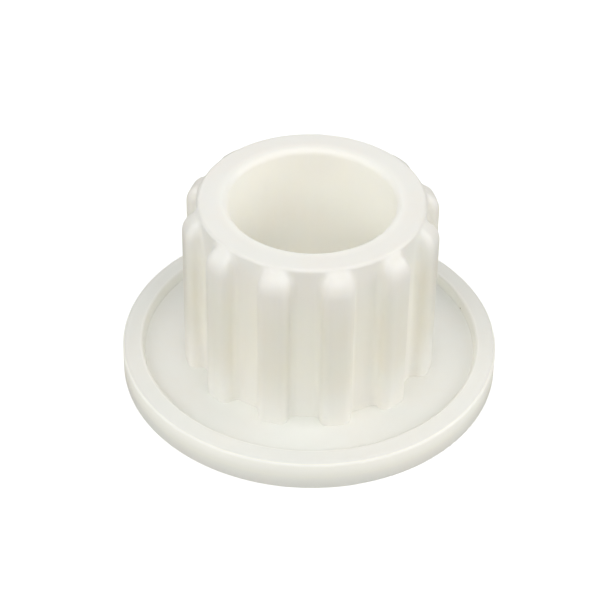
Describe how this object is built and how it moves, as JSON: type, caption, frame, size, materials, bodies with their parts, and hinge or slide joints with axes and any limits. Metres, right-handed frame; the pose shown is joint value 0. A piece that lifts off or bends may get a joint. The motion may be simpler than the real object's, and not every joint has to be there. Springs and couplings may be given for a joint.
{
  "type": "spur gear",
  "caption": "Flanged plastic drive gear: a hollow toothed sleeve with a round bore and a hexagonal drive socket, standing on a dished flange.",
  "frame": {"origin": "centre of the flange's underside, on the gear's axis", "axes": "+Z along the gear's axis, from the flange towards the open toothed end; +X through the middle of one tooth"},
  "size_m": [0.044, 0.044, 0.0239],
  "materials": {
    "sleeve_nylon": "satin, translucent white moulded nylon",
    "flange_nylon": "satin, translucent white moulded nylon",
    "insert_acetal": "plain white moulded acetal"
  },
  "bodies": {
    "root": {"toothed_sleeve": "sleeve_nylon", "dished_flange": "flange_nylon", "drive_insert": "insert_acetal"}
  },
  "joints": []
}
